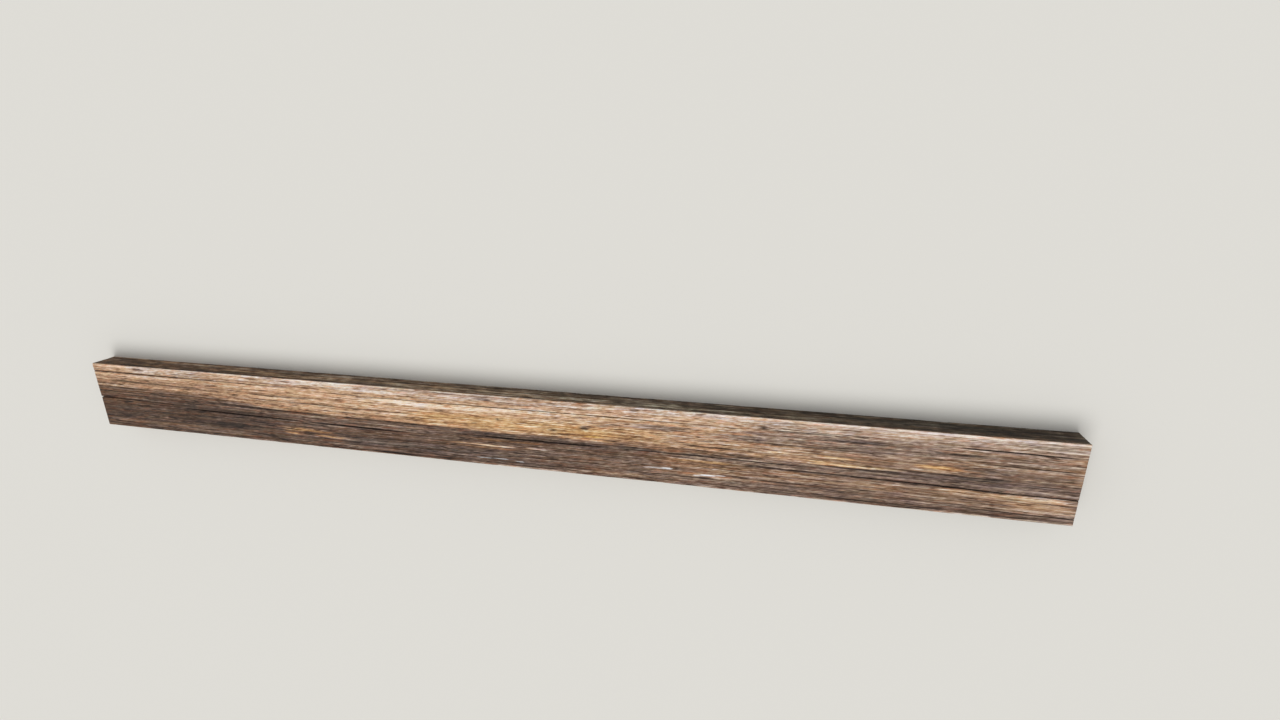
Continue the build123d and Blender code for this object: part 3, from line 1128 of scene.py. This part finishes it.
def grain_noise(tree, grain, noise):
    """One noise, on the grain's coordinates turned by its lean and divided by its cell."""
    if noise.lean:
        turn = {"Vector": grain, "Angle": np.radians(noise.lean)}
        grain = add(tree, "ShaderNodeVectorRotate", turn, rotation_type="Z_AXIS")
    scale = (1 / noise.length, 1 / noise.width, 1 / noise.width)
    place = {"Vector": grain, "Location": (noise.offset,) * 3, "Scale": scale}
    place = add(tree, "ShaderNodeMapping", place)
    look = {"Vector": place, "Scale": 1.0, "Detail": noise.detail, "Roughness": noise.rough}
    return add(tree, "ShaderNodeTexNoise", look)


finest = min(NOISES, key=lambda name: NOISES[name].width)
print(f"{len(NOISES)} noises, the finest {finest}, {NOISES[finest].width} mm across the grain")

# %% [markdown]
# The measures that the mesh carries are read by name, three to an attribute. They and the
# noises travel together through the functions below, and are mostly joined in one way: a
# running total to which each part adds its share.

# %% What the finish reads
VECTORS = {
    "tone": ("light", "grey", "gold"),
    # split is the painted shade in and beside the splits
    "marks": ("split", "knot", "fleck"),
    "wear": ("contrast", "mottled", "damp"),
}


def measures(tree):
    """The mesh's attributes and the noises, by name, for the functions that follow."""
    grain = add(tree, "ShaderNodeAttribute", attribute_name="grain").outputs["Vector"]
    read = {name: grain_noise(tree, grain, noise) for name, noise in NOISES.items()}
    for name in ("ring", "ray", "end"):
        read[name] = add(tree, "ShaderNodeAttribute", attribute_name=name).outputs["Fac"]
    for name, parts in VECTORS.items():
        vector = add(tree, "ShaderNodeAttribute", attribute_name=name).outputs["Vector"]
        read.update(zip(parts, add(tree, "ShaderNodeSeparateXYZ", (vector,)).outputs))
    return SimpleNamespace(**read)


def weighed(tree, total, *parts):
    """total plus each part times its share."""
    for part, share in parts:
        total = add(tree, "ShaderNodeMath", (part, share, total), operation="MULTIPLY_ADD")
    return total


print("measures read from the mesh:", [part for parts in VECTORS.values() for part in parts])

# %% [markdown]
# The first step is the play of the fibres. The noises are spread about 0 and added, in the
# share that each has in the lightness, because on the real face the fibre and the thread are
# seen first and the broad streak hardly at all. Short slanted marks come on top, where the
# fibres run in and out of the surface.

# %% Play of the fibres
SHARES = {"streak": 0.20, "thread": 0.68, "fibre": 0.85, "fibril": 0.55, "blotch": 0.10}


def fibre_play(tree, wood):
    """How much lighter or darker than its patch the wood is here: the noises about 0."""
    shares = [(getattr(wood, name), share) for name, share in SHARES.items()]
    spread = weighed(tree, -sum(SHARES.values()) / 2, *shares)
    speckle = weighed(tree, -0.5, (wood.mottle, 1.0))
    return weighed(tree, spread, (speckle, wood.mottled))


print(f"the fibres' shares add up to {sum(SHARES.values()):.2f}")

# %% [markdown]
# Next come the dark marks that run with the grain. Dashes are the gaps between fibres, and are
# cut from a noise at its darkest tenth. A hairline is drawn where a slow noise crosses certain
# values, because such a line runs on and on without an end. The dark of both is painted shade
# of the relief, which the bump also cuts in. Summer wood is a dark line at the end of each ring,
# strong on the sawn ends, and faint elsewhere.

# %% Dashes, hairlines and summer wood
DASH_SPAN, DASH_DARK = (0.42, 0.30), 0.22
HAIRLINES, HAIR_SPAN = 7.0, (0.16, 0.0)
BLOTCH_SPAN, HAIR_DARK = (0.35, 0.62), (-0.04, -0.20)
SUMMER_SPAN, SUMMER_ON_FACE, SUMMER_ON_END = (0.45, 0.97), -0.04, -0.22


def grain_marks(tree, wood, total):
    """total less the painted shade of dashes and hairlines and the dark summer wood; the first two
    also go to the relief.
    """
    crossing = add(tree, "ShaderNodeMath", (wood.line, HAIRLINES), operation="MULTIPLY")
    crossing = add(tree, "ShaderNodeMath", (crossing, 1.0), operation="PINGPONG")
    part = add(tree, "ShaderNodeMath", (wood.ring,), operation="FRACT")
    dashes, hairlines, summer = (
        add(tree, "ShaderNodeMapRange", (value, *span), interpolation_type="SMOOTHSTEP")
        for value, span in ((wood.dash, DASH_SPAN), (crossing, HAIR_SPAN), (part, SUMMER_SPAN))
    )
    dash_share = weighed(tree, -DASH_DARK, (wood.end, DASH_DARK))
    hair_share = add(tree, "ShaderNodeMapRange", (wood.blotch, *BLOTCH_SPAN, *HAIR_DARK))
    summer_share = weighed(tree, SUMMER_ON_FACE, (wood.end, SUMMER_ON_END))
    marks = (dashes, dash_share), (hairlines, hair_share), (summer, summer_share)
    return weighed(tree, total, *marks), dashes, hairlines


print(f"hairlines darken the wood by up to {-HAIR_DARK[1]}, dashes by up to {DASH_DARK}")

# %% [markdown]
# On the sawn ends the rays show: thin sheets of cells that stand away from the pith, along which
# the end dries and opens. The noise is stretched over bearing and ring number, so it fans out.

# %% Rays of the ends
RAY_CELLS, RAY_DETAIL, RAY_ROUGH = (2.2, 0.07, 1.0), 3.0, 0.6
RAY_LIGHT, RAY_CRACK, CRACK_SPAN = 0.35, -0.25, (0.38, 0.30)


def end_rays(tree, wood, total):
    """total with the rays on the ends, and dark cracks where the rays are darkest."""
    fan = add(tree, "ShaderNodeCombineXYZ", (wood.ray, wood.ring))
    fan = add(tree, "ShaderNodeVectorMath", (fan, RAY_CELLS), operation="MULTIPLY")
    look = {"Vector": fan, "Scale": 1.0, "Detail": RAY_DETAIL, "Roughness": RAY_ROUGH}
    rays = add(tree, "ShaderNodeTexNoise", look)
    span = (rays, *CRACK_SPAN)
    cracks = add(tree, "ShaderNodeMapRange", span, interpolation_type="SMOOTHSTEP")
    pale = weighed(tree, -RAY_LIGHT / 2, (rays, RAY_LIGHT))
    dark = weighed(tree, 0.0, (cracks, RAY_CRACK))
    return weighed(tree, total, (pale, wood.end), (dark, wood.end))


print(f"a ray is about {1 / RAY_CELLS[0]:.1f} degrees wide")

# %% [markdown]
# Three ramps turn lightness into colour: warm wood, grey wood and golden wood. The attributes
# choose between them, and the grey skin breaks up where the fibres stand out, as it does on the
# real face, so warm and grey fibres lie side by side. The hex values were listed, then
# corrected in small steps until a render's mean colours came near the photograph's.

# %% Colours of the wood
WARM_WOOD = [
    (0.0, "#1C110A"), (0.15, "#3A2617"), (0.3, "#5C422F"), (0.45, "#84654D"),
    (0.6, "#B48D71"), (0.72, "#D0AA8C"), (0.85, "#E8CBB3"), (1.0, "#F7E8DD"),
]
GREY_WOOD = [
    (0.0, "#19110E"), (0.15, "#33241B"), (0.3, "#4F3C31"), (0.45, "#6E594E"),
    (0.6, "#957D6F"), (0.75, "#C1A99B"), (0.88, "#E0CEC5"), (1.0, "#F5EBE7"),
]
GOLD_WOOD = [
    (0.0, "#1E1208"), (0.25, "#59391F"), (0.45, "#946535"), (0.65, "#C99452"),
    (0.85, "#EBC78A"), (1.0, "#FAE6C4"),
]
HUE_GREY, PLAY_GREY, GREY_SPAN = -1.6, 1.8, (0.15, 0.85)


def wood_colour(tree, wood, total, play):
    """The colour of the wood by its lightness: warm, grey and golden ramps, mixed in turn."""
    warm, grey, gold = (
        add(tree, "ShaderNodeValToRGB", (total,), stops)
        for stops in (WARM_WOOD, GREY_WOOD, GOLD_WOOD)
    )
    greyness = weighed(
        tree, -HUE_GREY / 2, (wood.hue, HUE_GREY), (wood.grey, 1.0), (play, PLAY_GREY)
    )
    span = (greyness, *GREY_SPAN)
    greyness = add(tree, "ShaderNodeMapRange", span, interpolation_type="SMOOTHSTEP")
    colour = add(tree, "ShaderNodeMix", {0: greyness, 6: warm, 7: grey}, data_type="RGBA")
    return add(tree, "ShaderNodeMix", {0: wood.gold, 6: colour, 7: gold}, data_type="RGBA")


print(f"{len(WARM_WOOD) + len(GREY_WOOD) + len(GOLD_WOOD)} colours on three ramps")

# %% [markdown]
# Wood that has been wet and dry for years is not one hue. Tannin leaves rusty streaks and the
# grey skin cool ones, both stronger in dark wood, and slate-grey places lean to blue. A slow
# noise turns it slightly green or pink, and damp wood has a thin green-grey bloom. All of these
# are stains in the wood, so each multiplies the colour under it.

# %% Stains in the wood
COOL_TO_RUST = [
    (0.10, "#D4DFE6"), (0.30, "#EAEDF2"), (0.42, "#FDFEFF"), (0.50, "#FBFFF4"),
    (0.58, "#FFFEFA"), (0.70, "#FFEADA"), (0.90, "#FFE0C8"),
]
GREEN_TO_PINK = [(0.1, "#F5FFF5"), (0.5, "#FFFFFF"), (0.9, "#FFF5FF")]
BLOOM_COLOUR, BLOOM = "#CDE0D2", 0.6
TINT_SHARE, TINT_HUE = 0.9, 0.5
# In dark and in pale wood: its lightness, and how strong its stains are
LIGHT_SPAN, STAIN_STRENGTH = (0.30, 0.60), (1.9, 1.05)
SLATE_SPAN, SLATE_COOL = (-0.2, -0.6), (0.0, -0.3)


def stained(tree, wood, colour):
    """The colour times its stains: rusty or cool, green or pink, and the bloom of damp."""
    depth = add(tree, "ShaderNodeMapRange", (wood.light, *LIGHT_SPAN, *STAIN_STRENGTH))
    cool = add(tree, "ShaderNodeMapRange", (wood.gold, *SLATE_SPAN, *SLATE_COOL))
    middle = -(TINT_SHARE + TINT_HUE) / 2
    tint = weighed(tree, middle, (wood.tint, TINT_SHARE), (wood.hue, TINT_HUE))
    tint = weighed(tree, 0.5, (tint, depth), (cool, 1.0))
    cast = weighed(tree, 0.5, (weighed(tree, -0.5, (wood.cast, 1.0)), depth))
    stains = (
        (1.0, add(tree, "ShaderNodeValToRGB", (tint,), COOL_TO_RUST)),
        (1.0, add(tree, "ShaderNodeValToRGB", (cast,), GREEN_TO_PINK)),
        (weighed(tree, 0.0, (wood.damp, BLOOM)), linear(BLOOM_COLOUR)),
    )
    for share, stain_colour in stains:
        layers = {0: share, 6: colour, 7: stain_colour}
        colour = add(tree, "ShaderNodeMix", layers, data_type="RGBA", blend_type="MULTIPLY")
    return colour


deep, thin = STAIN_STRENGTH
print(f"stains are {deep / thin:.1f} times as strong in dark wood as in pale")

# %% [markdown]
# On top lie the flecks, a chalky blue-white skin that has broken up along the fibres, so the
# fibres and marks decide where it still holds. Knots come last, resinous and nearly black, and
# with them the painted shade in and beside the splits, nearly black too.

# %% Flecks, knots and splits
# The split colour is the painted shade in and beside the splits
FLECK_COLOUR, KNOT_COLOUR, SPLIT_SHADE_COLOUR = "#F2F3F7", "#2B1F18", "#170F0B"
FLECK_POWER, FLECK_SPAN = 3.0, (0.72, 1.05)
TORN_FROM, TORN_MARKS, TORN_FIBRE, TORN_FLECK = -1.4, 2.0, 0.8, 1.6


def marked(tree, wood, colour):
    """The colour with flecks where their skin holds, the dark of knots, and the painted shade of
    splits.
    """
    torn = weighed(tree, TORN_FROM, (wood.mottle, TORN_MARKS), (wood.fibre, TORN_FIBRE))
    span = (weighed(tree, torn, (wood.fleck, TORN_FLECK)), *FLECK_SPAN)
    holds = add(tree, "ShaderNodeMapRange", span, interpolation_type="SMOOTHSTEP")
    thin = add(tree, "ShaderNodeMath", (wood.fleck, FLECK_POWER), operation="POWER")
    skin = add(tree, "ShaderNodeMath", (holds, thin), operation="MULTIPLY")
    # The last cover is the painted shade of the splits
    covers = (skin, FLECK_COLOUR), (wood.knot, KNOT_COLOUR), (wood.split, SPLIT_SHADE_COLOUR)
    for share, hex_code in covers:
        layers = {0: share, 6: colour, 7: linear(hex_code)}
        colour = add(tree, "ShaderNodeMix", layers, data_type="RGBA")
    return colour


print("flecks, knots and splits:", FLECK_COLOUR, KNOT_COLOUR, SPLIT_SHADE_COLOUR)

# %% [markdown]
# The finest relief is too fine for the mesh and is bump: threads and fibres stand up, dashes and
# hairlines are cut in, and the pores open on the ends. The same fibres that colour the wood
# raise it, because on the real face most dark lines are the shadow of the relief. There is
# hardly any gloss.

# %% Weathered softwood
RELIEF, RELIEF_STRENGTH = 1.1 * MM, 0.9
FIBRE_UP, FIBRIL_UP, DASH_DOWN, HAIR_DOWN = 0.8, 0.35, -0.5, -0.35
STREAK_SPAN, ROUGHNESS, GLOSS = (0.3, 0.7), (0.92, 0.74), 0.35


def weathered_wood():
    """Dry grey-brown softwood, rough sawn and weathered, with no finish on it."""
    material = bpy.data.materials.new("weathered_softwood")
    material.use_nodes = True
    tree = material.node_tree
    tree.nodes.clear()
    wood = measures(tree)
    play = fibre_play(tree, wood)
    total = weighed(tree, wood.light, (play, wood.contrast))
    total, dashes, hairlines = grain_marks(tree, wood, total)
    colour = wood_colour(tree, wood, end_rays(tree, wood, total), play)
    colour = marked(tree, wood, stained(tree, wood, colour))

    fibres = (wood.fibre, FIBRE_UP), (dashes, DASH_DOWN), (hairlines, HAIR_DOWN)
    raised = weighed(tree, wood.thread, *fibres, (wood.fibril, FIBRIL_UP), (wood.pore, wood.end))
    look = {"Height": raised, "Distance": RELIEF, "Strength": RELIEF_STRENGTH}
    bump = add(tree, "ShaderNodeBump", look)
    rough = add(tree, "ShaderNodeMapRange", (wood.streak, *STREAK_SPAN, *ROUGHNESS))
    look = {"Base Color": colour, "Roughness": rough, "Normal": bump, "Specular IOR Level": GLOSS}
    shader = add(tree, "ShaderNodeBsdfPrincipled", look)
    add(tree, "ShaderNodeOutputMaterial", {"Surface": shader})
    return material


plank = bpy.data.objects.new("weathered_plank", mesh)
bpy.context.scene.collection.objects.link(plank)
mesh.materials.append(weathered_wood())
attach(plank, "root")
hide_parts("plank")
print(f"the wood is a net of {len(mesh.materials[0].node_tree.nodes)} nodes")

# %% [markdown]
# ## Floor, light and camera
#
# The plank lies on a plain pale floor and the camera looks down on it from beyond its far side,
# as the photograph does. The light is that of a soft studio: an even sky, and one broad lamp from
# the near side, so that the upper face is lit and the long edge that faces the camera is not.

# %% The floor
FLOOR_REACH = 30.0
FLOOR_COLOUR, FLOOR_ROUGH, FLOOR_GLOSS = "#D9D7D1", 0.95, 0.1


def plain_floor():
    """Matt pale paper, the same all over."""
    material = bpy.data.materials.new("pale_floor")
    material.use_nodes = True
    shader = material.node_tree.nodes["Principled BSDF"]
    shader.inputs["Base Color"].default_value = linear(FLOOR_COLOUR)
    shader.inputs["Roughness"].default_value = FLOOR_ROUGH
    shader.inputs["Specular IOR Level"].default_value = FLOOR_GLOSS
    return material


floor_mesh = bpy.data.meshes.new("floor")
square = [(x * FLOOR_REACH, y * FLOOR_REACH, 0.0) for x, y in ((-1, -1), (1, -1), (1, 1), (-1, 1))]
floor_mesh.from_pydata(square, [], [(0, 1, 2, 3)])
floor_mesh.materials.append(plain_floor())
floor = bpy.data.objects.new("floor", floor_mesh)
bpy.context.scene.collection.objects.link(floor)
print(f"floor {2 * FLOOR_REACH:.0f} m square")

# %% The light
SKY, LAMP, LAMP_SPREAD = 0.55, 1.75, 0.8
BACKDROP, SKY_COLOUR = "#E4E2DD", "#FFFFFF"
TOWARDS = Vector((0.18, 0.42, -1.0))

world = bpy.data.worlds.new("studio")
bpy.context.scene.world = world
world.use_nodes = True
tree = world.node_tree
tree.nodes.clear()
rays = add(tree, "ShaderNodeLightPath")
seen = add(tree, "ShaderNodeBackground", {"Color": linear(BACKDROP), "Strength": 1.0})
lit = add(tree, "ShaderNodeBackground", {"Color": linear(SKY_COLOUR), "Strength": SKY})
pale = rays.outputs["Is Camera Ray"]
for kind in ("Is Glossy Ray", "Is Transmission Ray"):
    pale = add(tree, "ShaderNodeMath", (pale, rays.outputs[kind]), operation="MAXIMUM")
either = add(tree, "ShaderNodeMixShader", (pale, lit, seen))
add(tree, "ShaderNodeOutputWorld", {"Surface": either})

lamp = bpy.data.lights.new("key", "SUN")
lamp.energy = LAMP
lamp.angle = LAMP_SPREAD
key = bpy.data.objects.new("key", lamp)
key.rotation_euler = TOWARDS.to_track_quat("-Z", "Y").to_euler()
bpy.context.scene.collection.objects.link(key)
print(f"sky {SKY}, lamp {LAMP}, {np.degrees(LAMP_SPREAD):.0f} degrees wide")

# %% The camera
EYE = Vector((0.4894, 0.5150, 1.0847))
FORWARD, UP = Vector((-0.20414, -0.31153, -0.92805)), Vector((-0.0644, 0.95023, -0.30481))
ANGLE_OF_VIEW = 60.0

camera_data = bpy.data.cameras.new("camera")
camera_data.sensor_fit = "VERTICAL"
camera_data.angle_y = np.radians(ANGLE_OF_VIEW)
camera = bpy.data.objects.new("camera", camera_data)
back = -FORWARD.normalized()
right = UP.cross(back).normalized()
turn = Matrix((right, back.cross(right), back)).transposed()
camera.matrix_world = Matrix.Translation(EYE) @ turn.to_4x4()
bpy.context.scene.collection.objects.link(camera)
bpy.context.scene.camera = camera
print(f"camera {EYE.length:.2f} m from the plank's middle")

# %% The view transform
bpy.context.scene.view_settings.view_transform = "Standard"
